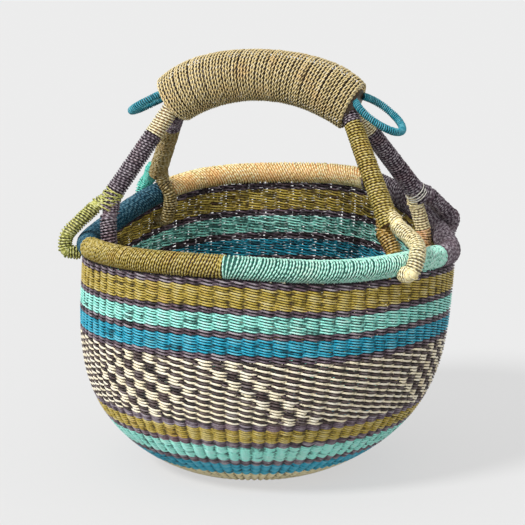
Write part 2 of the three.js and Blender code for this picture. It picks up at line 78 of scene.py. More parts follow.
# Weave: two strands to a row, twined round upright stakes. Sizes of straw are half thickness and half width
STAKES = 80
STAKE_DEEP = 0.9
STAKE_WIDE = 1.9
STAKE_SIDES = 8
STAKE_POINTS = 40
STAKE_STRAY = 0.04
STAKE_START = 14
ROW_PITCH = 2.7
ROW_WAVER = 0.16
WAVER_ORDERS = (3, 5, 9, 17)
STEPS_PER_STAKE = 6
HEIGHT_SAMPLES = 60
TWINE_OUT = 1.9
TWINE_UP = 0.95
STRAND_SIDES = 5
STRAND_DEEP = 1.1
STRAND_DEEP_SPREAD = 0.06
STRAND_WIDE = 0.98
STRAND_WIDE_SPREAD = 0.07
STRAND_CROWN = 0.2
NATURAL_CROWN = 0.24
PLAIN_ROW_SCALE = 0.86
LOWEST_ROW = 0.3
LOWEST_GAP = 0.5

# Flat rounds of the base: points of a stake there, and how many stakes are twined beyond each radius
FLOOR_POINTS = 7
FLOOR_STAKES = ((62, 80), (30, 40), (12, 20), (0, 10))

# Painted shade between the rows: dark strands deep in the wall, and the pinholes in each row of them
GAP_PITCH = 2.6
GAP_DEEP = 0.3
GAP_HALF = 1.5
GAP_SIDES = 4
GAP_STEP = 0.08
PINHOLES = 140
PINHOLE = 1.05
SHORTEST_IN_PINHOLES = 3
UNDER_RIM = 1.8

# Pattern band: stripes that step down a row at each stake, broken by checks three rows high. The checks
# form diamonds and bands that lean to the right, each named by the stake at its middle
CHECK_ROWS = 3
CHECK_TIERS = 7
DIAMONDS = (51, 75, 22)
LEANING_BANDS = (60, 4, 31)

# Rim, and its wraps: node, dye, from and to which angle
RIM_TUBE = 12.0
RIM_INSET = 6.5
RIM_RADIUS = WALL_RADIUS - RIM_INSET
RIM_WRAPS = [
    ("rim_wrap_olive", "olive", 196.0, 257.0),
    ("rim_wrap_mint", "mint_pale", 257.0, 334.5),
    ("rim_wrap_purple", "purple", 334.5, 414.5),
    ("rim_wrap_tan", "tan", 414.5, 489.0),
    # The blue wrap takes a darker copy of blue, painted shade on that side of the rim
    ("rim_wrap_blue", "blue_shaded", 489.0, 556.0),
]
RIM_PITCH = 3.05
RIM_LEAN = 2.0
RIM_SLANT = 5.2
RIM_BROAD = 1.16
POINTS_PER_DEGREE = 2

# Grip and legs
GRIP_RISE = 162.0
GRIP_ARCH_RADIUS = 160.0
GRIP_HALF_ANGLE = 37.9
GRIP_TILT = 0.1
GRIP_TURN = -17.0
GRIP_SHIFT = 8.6
GRIP_HEIGHT_MIDDLE = 55.0
GRIP_HEIGHT_END = 48.0
GRIP_SHOULDER = 6.5
GRIP_LEAN_RIGHT = 15.0
GRIP_WIDTH = 54.0
ARCH_SPACING = 22.4
ARCH_DROP = 3.0
SLEEVE_TOP_RADIUS = 9.6

# Cord wound round the grip: its turns, those that close in over each end and how far each of them does, the
# share of the grip covered, how the turns stray and tip, and the two plies, which go round the cord's line
CORD_TURNS = 64
CORD_END_TURNS = 7
CORD_END_STEP = 2.9
CORD_COVERS = 0.965
CORD_PLACE_STRAY = 0.003
CORD_SIZE_STRAY = 0.005
CORD_TIP = 0.02
CORD_TIP_START = 0.4
CORD_STEPS_PER_TURN = 110
CORD_RADIUS = 1.5
PLY_PITCH = 10.0
PLY_STRAY = 1.6
PLY_OUT = 0.66
PLY_ACROSS = 0.72
PLY_DEEP = 0.76
PLY_WIDE = 0.68

# Legs: foot angle on the rim, split point (inward from the rim, above it, along it), radius at the split,
# end of the grip and which of the two arches
LEGS = {
    "a": dict(angle=183, inward=16.0, above=35.6, along=-6.0, end_radius=10.6, end=-1, near=-1),
    "b": dict(angle=132, inward=11.0, above=28.0, along=6.0, end_radius=10.4, end=-1, near=1),
    "c": dict(angle=-40, inward=29.5, above=31.1, along=-2.0, end_radius=11.6, end=1, near=-1),
    "d": dict(angle=12, inward=24.5, above=42.3, along=-4.4, end_radius=10.8, end=1, near=1),
}
CREAM_LENGTH_A = 34
PURPLE_LENGTH_B = 41
PURPLE_LENGTH_C = 11
CREAM_LENGTH_D = 29
SLEEVE_START = 1
LEG_STEP = 3
LEG_PITCH = 2.9
LEG_SLANT = 1.5

# Limbs: radius, drift along the rim, and how far they stand off the rim and go under it
OUTER_LIMBS = {
    "a": dict(radius=7.8, drift=4, stand_off=3, tuck=0.5),
    "b": dict(radius=7.8, drift=2, stand_off=0, tuck=1.0),
    "c": dict(radius=8.6, drift=-28, stand_off=0, tuck=0.4),
    "d": dict(radius=8.8, drift=30, stand_off=0, tuck=1.0),
}
INNER_LIMBS = {
    "a": dict(radius=9.2, drift=0, droop=1.0),
    "b": dict(radius=7.8, drift=-6, droop=1.5),
    "c": dict(radius=8.6, drift=-12, droop=1.0),
    "d": dict(radius=8.4, drift=-4, droop=1.0),
}

# Limbs: clearance to the rim, roots inside the leg (how far back, and sideways as a share of the radius),
# rounded ends, and how their turns part where they bend and close in
LIMB_CLEARANCE = 1.1
LIMB_ROOTS = ((15, 0.25), (7, 0.6))
LIMB_ROUNDING = 0.8
LIMB_CLOSED = 0.98
BEND_PARTING = 1.4
CLOSING_PARTING = 3
LIMB_SLANT = 1.0
LIMB_PAST_WALL = 2

# Dyes of the limbs: leg, outer limb, inner limb from the top down
LIMB_DYES = [
    ("a", "lime", ["purple"]),
    # Leg B's inner limb takes a darker copy of olive, painted shade
    ("b", "turquoise", ["olive_shaded"]),
    ("c", "cream", ["olive_rusty", "olive"]),
    ("d", "purple", ["cream", "cream_rusty"]),
]

# Lime lashing on leg A, wound both ways: hand, slant, starting angle
LASHING_LENGTH = 24.0
LASHING_RUNS = ((1, 6.0, 0.5), (-1, 3.0, 2.2))
LASHING_PITCH = 5.0
LASHING_BROAD = 1.0
LASHING_SINK = 0.6
LASHED_SINK = 1.5
LASHED_SLEEVE_SINK = 1.9

# White thread tie on leg D
TIE_FROM_SPLIT = 5
TIE_LENGTH = 9.6
TIE_PITCH = 3.4
TIE_OUT = 0.8
TIE_THIN = 0.6
TIE_BROAD = 0.75
TIE_GRAIN = 6.0
TIE_LEAN = 1.4

# Routes that straw is wound round
UPRIGHT = (0, 0, 1)
CURVE_STEPS = 24
ROUTE_STEP = 1.5

# Wound straw is itself a twisted strip: half thickness, half width, length of half a twist, how deep its
# middle lies in the solid, and how far its turns stray
STRIP_THIN = 0.68
STRIP_BROAD = 1.22
STRIP_GRAIN = 4.6
STRIP_SINK = 1.1
STRIP_STEPS_PER_GRAIN = 4
STRIP_TWIST_STRAY = 2.6
STRIP_PITCH_STRAY = 0.05
STRIP_THIN_STRAY = 0.12
STRIP_BROAD_STRAY = 0.08
TIP_STRAY = 0.07
TIP_EASE = 10
ROUND_STRIP_STEPS = 16
SLEEVE_SINKS = 1.6
LEAST_TURN = 0.5
LEAST_SLEEVE = 0.3
SLEEVE_SIDES = 12

# Hanging loops
LOOP_TUBE = 4.25
LOOP_POINTS = 90
LOOP_PITCH = 2.2
LOOP_SINK = 0.7
LOOP_THIN = 0.66
LOOP_BROAD = 0.74
LOOP_LEAN = 0.5
LOOP_HALF_WIDTH = 25.0
LOOP_OPEN = 150.0
LOOP_LIFT = 14.0
LOOPS = {
    "left_hanging_loop": dict(end=-1, reach=22.5, twist=3, raised=9),
    "right_hanging_loop": dict(end=1, reach=29.5, twist=-7, raised=-12.4),
}

# Tones of straw: 0 is painted shade between strands, 1 the light shade. Painted relief lights tops and shades
# dives
STRAND_TONE = 0.62
STRAND_TONE_SPREAD = 0.13
# Painted relief of the weave: lighter where a strand lies on top, darker where it dives under
STRAND_PAINTED_RELIEF = 0.35
STRAND_PAINTED_RELIEF_MIDDLE = 0.7
# Strands on the inside of the wall are darker: less faded dye and painted shade
INSIDE_DEEPER_DYE_AND_SHADE = 0.26
NATURAL_TONE = 0.75
INK_TONE = 0.5
STAKE_TONE = 0.3
STAKE_TONE_SPREAD = 0.12
# Painted shade between the rows, and under the turns of the rim and the lashing
GAP_SHADE_TONE = -0.1
GAP_SHADE_TONE_SPREAD = 0.08
STRIP_TONE = 0.7
CREAM_TONE = 0.8
STRIP_TONE_SPREAD = 0.1
STRIP_TONES_PER_TURN = 3
# Painted relief of wound strips: lighter where the broad face turns out, darker edge-on, around an offset
STRIP_PAINTED_RELIEF = 0.52
STRIP_PAINTED_RELIEF_OFFSET = 0.24
# Sleeves under wound turns are painted shade; on limbs they are lighter where the turns part
SLEEVE_SHADE_TONE = 0.0
LIMB_SLEEVE_SHADE_TONE = 0.05
LIMB_SLEEVE_LIGHTER = 0.55
CORD_TONE = 0.5
# Painted relief of the cord's plies
CORD_PAINTED_RELIEF = 0.36
CORD_TONE_SPREAD = 0.12
CORD_TONES_PER_TURN = 5

# Straw's surface: its finish, where the dark and plain shades lie on the tones, how far the dark one goes,
# and the noise, by scale and detail, for grain, worn patches and fibres
STRAW_ROUGHNESS = 0.5
STRAW_SPECULAR = 0.4
DARK_TONE = 0.26
PLAIN_TONE = 0.55
DARK_SPREAD = 1.5
GRAIN_NOISE = (260.0, 3.0)
GRAIN_SPREAD = 0.8
WORN_NOISE = (38.0, 4.0)
WORN_CONTRAST = 3.2
WORN_LEVEL = -1.75
FIBRE_NOISE = (1800.0, 2.0)
FIBRE_STRENGTH = 0.4
FIBRE_DEPTH = 0.0004

# Floor, in metres, and light. Suns: name, strength, degrees across, direction
FLOOR_REACH = 30.0
FLOOR_GREY = 0.24
FLOOR_GLOW = 0.565
FLOOR_ROUGHNESS = 0.8
WORLD_STRENGTH = 0.55
SUNS = [
    ("key", 2.7, 14, (0.8, 0.7, -0.9)),
    ("fill", 1.4, 40, (-0.35, 1.0, -0.05)),
]

# Camera, fitted to the photograph's outline, with its tilt in degrees and its lens as for a 36 mm sensor
CAMERA_TILT = 11.0035
CAMERA_DISTANCE = 11 * WALL_RADIUS
CAMERA_TARGET = (15.6, 0, 240.7)
CAMERA_SENSOR = 36.0
CAMERA_LENS = 140.48
CAMERA_SHIFT = (-0.01272, -0.04259)


# Surfaces of the body
def rise(angle):
    waves = ((k + 1, cosine, sine) for k, (cosine, sine) in enumerate(RISE_WAVES))
    return sum(cosine * np.cos(k * angle) + sine * np.sin(k * angle) for k, cosine, sine in waves)


def wall_radius(z):
    left = np.clip(1 - z / WALL_HEIGHT, 0, 1)
    return BASE_RADIUS + (WALL_RADIUS - BASE_RADIUS) * (1 - left ** BELLY_FULLNESS) ** (1 / BELLY_SOFTNESS)


def wall_frame(z, angle, depth=0.0):
    """Point, outward normal and upward tangent of the wall at heights z and angles."""
    z, angle = np.broadcast_arrays(np.asarray(z, float), np.asarray(angle, float))
    low, high = np.maximum(z - SLOPE_REACH, SLOPE_LOWEST), np.minimum(z + SLOPE_REACH, WALL_HEIGHT)
    slope = (wall_radius(high) - wall_radius(low)) / (high - low)
    size = np.hypot(1, slope)
    ca, sa = np.cos(angle), np.sin(angle)
    normal = np.stack([ca / size, sa / size, -slope / size], -1)
    tangent = np.stack([ca * slope / size, sa * slope / size, 1 / size], -1)
    radius = wall_radius(z)
    share = z / WALL_HEIGHT
    point = np.stack([LEAN_AT_TOP * share + radius * ca, radius * sa, z + rise(angle) * share], -1)
    return point - normal * depth, normal, tangent


def rim_point(angle, outward=0.0, up=0.0):
    """Middle of the rim's tube at angles, or a point so far outward from it and up."""
    angle = np.asarray(angle, float)
    radius = RIM_RADIUS + outward
    height = WALL_HEIGHT + SEAT_GAP + RIM_TUBE + rise(angle) + up
    return np.stack([LEAN_AT_TOP + radius * np.cos(angle), radius * np.sin(angle), height + 0 * angle], -1)


def unit(vectors):
    return vectors / np.linalg.norm(vectors, axis=-1, keepdims=True)


# The grip's arc and the legs' lines
GRIP_ALONG = np.array([math.cos(math.radians(GRIP_TURN)), math.sin(math.radians(GRIP_TURN)), 0.0])
GRIP_SIDE = np.array([-GRIP_ALONG[1], GRIP_ALONG[0], 0.0])
ARCH_CENTRE = np.array([GRIP_SHIFT, 0.0, WALL_HEIGHT + SEAT_GAP + RIM_TUBE + GRIP_RISE - GRIP_ARCH_RADIUS])


def grip_radial(angle):
    return np.sin(angle)[..., None] * GRIP_ALONG + np.cos(angle)[..., None] * np.array([0, 0, 1.0])


def grip_frame(turn):
    """Centre, up, forward and half heights (above, below) of the grip. turn is -1 at its left end, 1 at its
    right."""
    turn = np.asarray(turn, float)
    angle = np.radians(turn * GRIP_HALF_ANGLE + GRIP_TILT)
    lean = np.radians(GRIP_LEAN_RIGHT * np.maximum(turn, 0) ** 3)
    up = grip_radial(angle - lean)
    forward = np.cross(np.broadcast_to(GRIP_SIDE, up.shape), up)
    square = turn**2
    below = (GRIP_HEIGHT_MIDDLE + (GRIP_HEIGHT_END - GRIP_HEIGHT_MIDDLE) * square) / 2
    above = below + GRIP_SHOULDER * square * (3 - 2 * square)
    return ARCH_CENTRE + grip_radial(angle) * GRIP_ARCH_RADIUS, up, forward, (above, below)


# Each leg's line, from where it leaves the grip to where it splits
for leg in LEGS.values():
    centre, up, _, _ = grip_frame(leg["end"])
    leg["exit"] = centre - up * ARCH_DROP + GRIP_SIDE * leg["near"] * ARCH_SPACING / 2
    foot = math.radians(leg["angle"])
    leg["split"] = rim_point(foot + leg["along"] / RIM_RADIUS, -leg["inward"], leg["above"])
    leg["length"] = float(np.linalg.norm(leg["split"] - leg["exit"]))
    leg["down"] = unit(leg["split"] - leg["exit"])
    leg["outward"] = np.array([math.cos(foot), math.sin(foot), 0.0])


def new_object(name, data):
    obj = bpy.data.objects.new(name, data)
    bpy.context.scene.collection.objects.link(obj)
    return obj


# Meshes of strands
class Strands:
    """Gathers tubes that share one mesh. Each point has a tone, from 0 dark to 1 light: painted light and
    shade, and the straw's own differences.
    """

    def __init__(self):
        self.points, self.tones, self.quads, self.caps = [], [], [], []
        self.count = 0

    def add(self, path, out, across, deep, wide, tone, closed=False, sides=STRAND_SIDES):
        """Tubes along path, with half sizes deep along out and wide along across. path, out and across are
        (steps, 3) or (tubes, steps, 3), and the sizes and the tone broadcast to (tubes, steps)."""
        path, out, across = (values if values.ndim == 3 else values[None] for values in (path, out, across))
        tubes, steps, _ = path.shape
        deep = np.broadcast_to(deep, (tubes, steps))[..., None, None]
        wide = np.broadcast_to(wide, (tubes, steps))[..., None, None]
        turn = 2 * math.pi * (np.arange(sides) + 0.5) / sides
        ring = (path[:, :, None] + out[:, :, None] * deep * np.cos(turn)[None, None, :, None]
                + across[:, :, None] * wide * np.sin(turn)[None, None, :, None])
        self.points.append(ring.reshape(-1, 3))
        self.tones.append(np.repeat(np.broadcast_to(tone, (tubes, steps)).reshape(-1), sides))
        index = self.count + np.arange(tubes * steps * sides).reshape(tubes, steps, sides)
        after = np.roll(index, -1, 1) if closed else index[:, 1:]
        before = index if closed else index[:, :-1]
        quads = np.stack([before, np.roll(before, -1, 2), np.roll(after, -1, 2), after], -1)
        self.quads.append(quads.reshape(-1, 4))
        if not closed:
            self.caps.append(index[:, 0, ::-1])
            self.caps.append(index[:, -1])
        self.count += tubes * steps * sides

    def piece(self, name, material, slot, node=None):
        """Makes the mesh. It rides on the body, and stands for a node of the model where one is named."""
        mesh = bpy.data.meshes.new(name)
        points = np.concatenate(self.points) * MM
        quads = np.concatenate(self.quads)
        loops = np.concatenate([quads.reshape(-1), *(cap.reshape(-1) for cap in self.caps)])
        cap_totals = [np.full(len(cap), cap.shape[1]) for cap in self.caps]
        totals = np.concatenate([np.full(len(quads), 4), *cap_totals])
        starts = np.concatenate([[0], np.cumsum(totals)[:-1]])
        mesh.vertices.add(len(points))
        mesh.vertices.foreach_set("co", points.astype(np.float32).reshape(-1))
        mesh.loops.add(len(loops))
        mesh.loops.foreach_set("vertex_index", loops.astype(np.int32))
        mesh.polygons.add(len(totals))
        mesh.polygons.foreach_set("loop_start", starts.astype(np.int32))
        mesh.polygons.foreach_set("loop_total", totals.astype(np.int32))
        mesh.polygons.foreach_set("use_smooth", np.ones(len(totals), bool))
        tone = mesh.attributes.new("tone", "FLOAT", "POINT")
        tone.data.foreach_set("value", np.concatenate(self.tones).astype(np.float32))
        mesh.update(calc_edges=True)
        mesh.validate()
        mesh.materials.append(material)
        obj = new_object(name, mesh)
        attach(obj, "root")
        if node:
            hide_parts(node)


# Materials
def straw_material(name, gap_shade, dark, plain, light, worn, wear=0.0):
    """Dyed or natural straw. Tone picks between the shades, painted ones among them, and noise adds grain and
    worn patches.
    """
    material = bpy.data.materials.new(name)
    material.use_nodes = True
    nodes, links = material.node_tree.nodes, material.node_tree.links
    shader = nodes["Principled BSDF"]
    shader.inputs["Roughness"].default_value = STRAW_ROUGHNESS
    shader.inputs["Specular IOR Level"].default_value = STRAW_SPECULAR
    where = nodes.new("ShaderNodeTexCoord")
    tone = nodes.new("ShaderNodeAttribute")
    tone.attribute_name = "tone"

    def noise(scale, detail):
        node = nodes.new("ShaderNodeTexNoise")
        node.inputs["Scale"].default_value = scale
        node.inputs["Detail"].default_value = detail
        links.new(where.outputs["Object"], node.inputs["Vector"])
        return node.outputs["Fac"]

    def maths(operation, source, *values, clamp=False):
        node = nodes.new("ShaderNodeMath")
        node.operation = operation
        node.use_clamp = clamp
        links.new(source, node.inputs[0])
        for k, value in enumerate(values):
            if isinstance(value, float):
                node.inputs[k + 1].default_value = value
            else:
                links.new(value, node.inputs[k + 1])
        return node.outputs[0]

    spread = maths("MULTIPLY_ADD", noise(*GRAIN_NOISE), GRAIN_SPREAD, -GRAIN_SPREAD / 2)
    mixed = maths("ADD", spread, tone.outputs["Fac"], clamp=True)
    ramp = nodes.new("ShaderNodeValToRGB")
    stops = ramp.color_ramp.elements
    stops[0].position, stops[1].position = 0.0, 1.0
    stops[0].color, stops[1].color = (*gap_shade, 1), (*light, 1)
    for position, colour in ((DARK_TONE, dark), (PLAIN_TONE, plain)):
        stops.new(position).color = (*colour, 1)
    links.new(mixed, ramp.inputs["Fac"])
    patches = maths("MULTIPLY_ADD", noise(*WORN_NOISE), WORN_CONTRAST, WORN_LEVEL + wear, clamp=True)
    share = maths("MULTIPLY", patches, mixed, clamp=True)
    blend = nodes.new("ShaderNodeMix")
    blend.data_type = "RGBA"
    links.new(share, blend.inputs["Factor"])
    links.new(ramp.outputs["Color"], blend.inputs["A"])
    blend.inputs["B"].default_value = (*worn, 1)
    links.new(blend.outputs["Result"], shader.inputs["Base Color"])
    bump = nodes.new("ShaderNodeBump")
    bump.inputs["Strength"].default_value = FIBRE_STRENGTH
    bump.inputs["Distance"].default_value = FIBRE_DEPTH
    links.new(noise(*FIBRE_NOISE), bump.inputs["Height"])
    links.new(bump.outputs["Normal"], shader.inputs["Normal"])
    return material


def linear(red, green, blue):
    """Colour as seen on a screen, 0 to 255, to the renderer's linear values, by sRGB's own curve."""
    def channel(value):
        value /= 255
        return value / 12.92 if value <= 0.04045 else ((value + 0.055) / 1.055) ** 2.4

    return channel(red), channel(green), channel(blue)


def shades(colour, spread, gap_shade, worn, wear=0.0):
    """Painted shade between strands, dark, plain, light and worn shades of one dye, and how much more worn it
    is than the rest.
    """
    dark = linear(*(value * (1 - DARK_SPREAD * spread) for value in colour))
    light = linear(*(value + (255 - value) * spread for value in colour))
    return linear(*gap_shade), dark, linear(*colour), light, linear(*worn), wear


# Colour, how far its shades spread, painted shade between strands, worn colour, and for some how much more
# worn they are
DYES = {
    "cream": ((253, 238, 182), 0.4, (140, 108, 72), (238, 200, 136)),
    "cream_rusty": ((246, 212, 146), 0.4, (130, 66, 28), (222, 116, 44), 0.5),
    "olive_rusty": ((182, 144, 62), 0.36, (76, 38, 20), (186, 100, 44), 0.25),
    # A darker copy of olive, painted shade for leg B on the far side
    "olive_shaded": ((144, 122, 62), 0.36, (54, 38, 24), (146, 108, 60)),
    "natural": ((250, 237, 204), 0.4, (84, 62, 54), (232, 208, 162)),
    "ink": ((84, 68, 66), 0.36, (34, 24, 26), (118, 94, 84)),
    "olive": ((188, 164, 66), 0.36, (74, 50, 24), (200, 156, 72)),
    "mint": ((158, 244, 228), 0.36, (20, 92, 86), (200, 242, 222)),
    "mint_pale": ((176, 244, 222), 0.4, (26, 92, 82), (222, 240, 216)),
    "blue": ((30, 168, 198), 0.34, (10, 44, 60), (88, 172, 182)),
    # A darker copy of blue, painted shade for the rim's blue wrap
    "blue_shaded": ((16, 78, 102), 0.3, (8, 28, 42), (40, 80, 100)),
    "purple": ((100, 82, 94), 0.48, (30, 18, 30), (130, 86, 90)),
    "tan": ((255, 238, 168), 0.42, (210, 152, 90), (255, 192, 112), 0.3),
    "lime": ((190, 190, 96), 0.36, (56, 50, 26), (216, 202, 122)),
    "turquoise": ((68, 200, 180), 0.34, (14, 74, 70), (142, 218, 196)),
    "teal": ((24, 138, 158), 0.34, (8, 56, 70), (102, 178, 188)),
    "white": ((250, 246, 234), 0.2, (110, 98, 80), (240, 232, 212)),
    "cord": ((224, 200, 138), 0.38, (74, 50, 28), (222, 172, 106)),
    "core": ((140, 118, 78), 0.3, (64, 48, 32), (140, 108, 70)),
    "dark": ((66, 55, 52), 0.3, (28, 22, 22), (76, 58, 50)),
}

# The record's material slots, and the dyes listed under each
SLOT_DYES = {
    "straw_cream": ("cream", "cream_rusty", "natural"),
    "straw_olive": ("olive", "olive_rusty", "olive_shaded"),
    "straw_mint": ("mint", "mint_pale"),
    "straw_blue": ("blue", "blue_shaded"),
    "straw_purple": ("purple", "ink", "dark"),
    "straw_tan": ("tan",),
    "straw_lime": ("lime",),
    "straw_turquoise": ("turquoise",),
    "cord_teal": ("teal",),
    "cord_grip": ("cord",),
    "thread_white": ("white",),
    "grass_core": ("core",),
}
SLOTS = {dye: slot for slot, dyes in SLOT_DYES.items() for dye in dyes}
MATERIALS = {name: straw_material(f"straw_{name}", *shades(*dye)) for name, dye in DYES.items()}


def make_piece(strands, name, dye, node=None):
    strands.piece(name, MATERIALS[dye], SLOTS[dye], node)


# Weave
STAKE_TURN = 2 * math.pi / STAKES
stake_stray = rng.normal(0, STAKE_STRAY, STAKES) * STAKE_TURN


def row_waves(count):
    """Slow unevenness round a row: a few random waves, one value per sample."""
    angle = 2 * math.pi * np.arange(count) / count
    wave = np.zeros(count)
    for order in WAVER_ORDERS:
        size = rng.normal(0, 1) / math.sqrt(order)
        wave += size * np.sin(order * angle + rng.uniform(0, 2 * math.pi))
    return wave


def twined_row(z, front):
    """Two strands twined round the stakes at height z. front says, stake by stake, whether the first shows
    outside. Returns path, normal, tangent and twist for both, each (2, samples, 3) or (2, samples)."""
    flips = front != np.roll(front, -1)
    turns = np.where(flips, 1.0, 2.0) * math.pi
    start = 0.0 if front[0] else math.pi
    at_stake = start + np.concatenate([[0], np.cumsum(turns)])
    stake = np.arange(STAKES * STEPS_PER_STAKE) / STEPS_PER_STAKE
    twist = np.interp(stake, np.arange(STAKES + 1), at_stake)
    shift = np.interp(stake, np.arange(STAKES + 1), np.append(stake_stray, stake_stray[0]))
    angle = stake * STAKE_TURN + shift
    height = z + row_waves(len(stake)) * ROW_WAVER
    point, normal, tangent = wall_frame(height, angle, WALL_THICKNESS / 2)
    both = np.stack([twist, twist + math.pi])
    path = point[None] + normal[None] * (TWINE_OUT * np.cos(both))[..., None]
    path = path - tangent[None] * (TWINE_UP * np.sin(both))[..., None]
    return path, np.stack([normal] * 2), np.stack([tangent] * 2), both


def strand_sizes(twist, scale=1.0):
    deep = STRAND_DEEP * (1 + rng.normal(0, STRAND_DEEP_SPREAD, twist.shape))
    even = STRAND_WIDE + STRAND_CROWN * np.cos(twist) ** 2
    return deep, even * (1 + rng.normal(0, STRAND_WIDE_SPREAD, twist.shape)) * scale


def strand_tones(twist, base=STRAND_TONE):
    """Each pass over a stake is its own bit of straw, a little lighter or darker, with painted relief. The
    inside is darker: less faded dye and painted shade.
    """
    passes = np.floor(twist / math.pi + 0.5).astype(int)
    pick = rng.normal(0, STRAND_TONE_SPREAD, passes.max() - passes.min() + 2)
    # Painted relief: lighter where the strand lies on top, darker where it dives under
    painted_relief = STRAND_PAINTED_RELIEF * (np.abs(np.cos(twist)) - STRAND_PAINTED_RELIEF_MIDDLE)
    # Darker on the inside: less faded dye and painted shade
    return base + pick[passes - passes.min()] + painted_relief - INSIDE_DEEPER_DYE_AND_SHADE * np.clip(-np.cos(twist), 0, 1)


def row_heights(low, high, pitch=ROW_PITCH, fit=round, rows=None):
    """Heights of the rows between two heights of the wall, evenly spaced along it."""
    z = np.linspace(low, high, HEIGHT_SAMPLES)
    along = np.concatenate([[0], np.cumsum(np.hypot(np.diff(z), np.diff(wall_radius(z))))])
    rows = rows or max(1, fit(along[-1] / pitch))
    return np.interp((np.arange(rows) + 0.5) / rows * along[-1], along, z)


def add_gap_shades(name, dye, node, low, high):
    """Painted shade deep between the rows of a band: dark strands cut by pinholes that let light through."""
    strands = Strands()
    for height in row_heights(low, high, GAP_PITCH, math.ceil):
        cuts = np.sort(rng.uniform(0, 2 * math.pi, PINHOLES))
        hole = PINHOLE / wall_radius(height)
        for start, end in zip(cuts, np.append(cuts[1:], cuts[0] + 2 * math.pi)):
            if end - start < SHORTEST_IN_PINHOLES * hole:
                continue
            angle = np.linspace(start + hole, end - hole, max(2, int((end - start) / GAP_STEP)))
            point, normal, tangent = wall_frame(height, angle, WALL_THICKNESS / 2)
            tone = rng.normal(GAP_SHADE_TONE, GAP_SHADE_TONE_SPREAD)
            strands.add(point, normal, tangent, GAP_DEEP, GAP_HALF, tone, sides=GAP_SIDES)
    make_piece(strands, name, dye, node)


def alternate(row):
    """Whether the first strand of a plain row shows at each stake."""
    return (np.arange(STAKES) + row) % 2 == 0


def pattern_front(row):
    """Whether the natural strand shows at each stake in a row counted from the top of the band."""
    front = alternate(row)
    tier = min(row // CHECK_ROWS, CHECK_TIERS - 1)
    middle = CHECK_TIERS // 2
    motifs = [(centre, middle + 1 - abs(tier - middle)) for centre in DIAMONDS]
    motifs += [(centre + tier - middle, 1) for centre in LEANING_BANDS]
    for centre, reach in motifs:
        for column in range(-reach, reach + 1):
            front[(centre + column) % STAKES] = (column + reach) % 2 == 0
    return front


def weave_pattern(node, bottom, top):
    """The band in two colours, its natural straw broader where it shows."""
    natural, dark = Strands(), Strands()
    rows = CHECK_ROWS * CHECK_TIERS
    for row, z in enumerate(row_heights(bottom, top, rows=rows)):
        path, normal, tangent, twist = twined_row(z, pattern_front(rows - 1 - row))
        deep, wide = strand_sizes(twist)
        wide[0] += NATURAL_CROWN * np.clip(np.cos(twist[0]), 0, 1)
        for strands, k, base in ((natural, 0, NATURAL_TONE), (dark, 1, INK_TONE)):
            tone = strand_tones(twist[k], base)
            strands.add(path[k], normal[k], tangent[k], deep[k], wide[k], tone, closed=True)
    make_piece(natural, "pattern_natural", "natural", node)
    make_piece(dark, "pattern_dark", "ink", node)
    add_gap_shades(f"gap_shades_{node}", "ink", node, bottom, top)


def add_plain_row(strands, path, out, across, twist):
    deep, wide = strand_sizes(twist, PLAIN_ROW_SCALE)
    tones = np.stack([strand_tones(strand) for strand in twist])
    strands.add(path, out, across, deep, wide, tones, closed=True)


def weave_floor(dye, node):
    """Flat rounds of twining under the basket, with fewer stakes towards the middle."""
    strands = Strands()
    down = np.array([0, 0, -1.0])
    for k in range(int(BASE_RADIUS / ROW_PITCH)):
        radius = BASE_RADIUS - (k + 0.5) * ROW_PITCH
        stakes = next(count for beyond, count in FLOOR_STAKES if radius > beyond)
        stake = np.arange(stakes * STEPS_PER_STAKE) / STEPS_PER_STAKE
        angle = stake * 2 * math.pi / stakes
        first = (stake + k) * math.pi
        twist = np.stack([first, first + math.pi])
        outward = np.stack([np.cos(angle), np.sin(angle), 0 * angle], -1)
        centre = outward * radius - down * WALL_THICKNESS / 2
        path = centre + down * (TWINE_OUT * np.cos(twist))[..., None]
        path = path + outward * (TWINE_UP * np.sin(twist))[..., None]
        out, across = np.broadcast_to(down, path.shape), np.broadcast_to(outward, path.shape)
        add_plain_row(strands, path, out, across, twist)
    make_piece(strands, f"woven_floor_{node}", dye, node)


def weave_plain(node, dye, bottom, top, first_row):
    """A band of one dye. Returns the number of the row after its last."""
    strands = Strands()
    heights = row_heights(max(bottom, LOWEST_ROW), top)
    for row, z in enumerate(heights, first_row):
        add_plain_row(strands, *twined_row(z, alternate(row)))
    make_piece(strands, f"woven_{node}", dye, node)
    if node == "base_weave":
        weave_floor(dye, node)
    under_rim = UNDER_RIM if node == BANDS[-1][0] else 0
    add_gap_shades(f"gap_shades_{node}", dye, node, max(bottom, LOWEST_GAP), top + under_rim)
    return first_row + len(heights)


def weave_body():
    bottom, row = 0.0, 0
    for node, dye, depth in BANDS:
        top = bottom + depth
        if node == "pattern_band":
            weave_pattern(node, bottom, top)
        else:
            row = weave_plain(node, dye, bottom, top, row)
        bottom = top


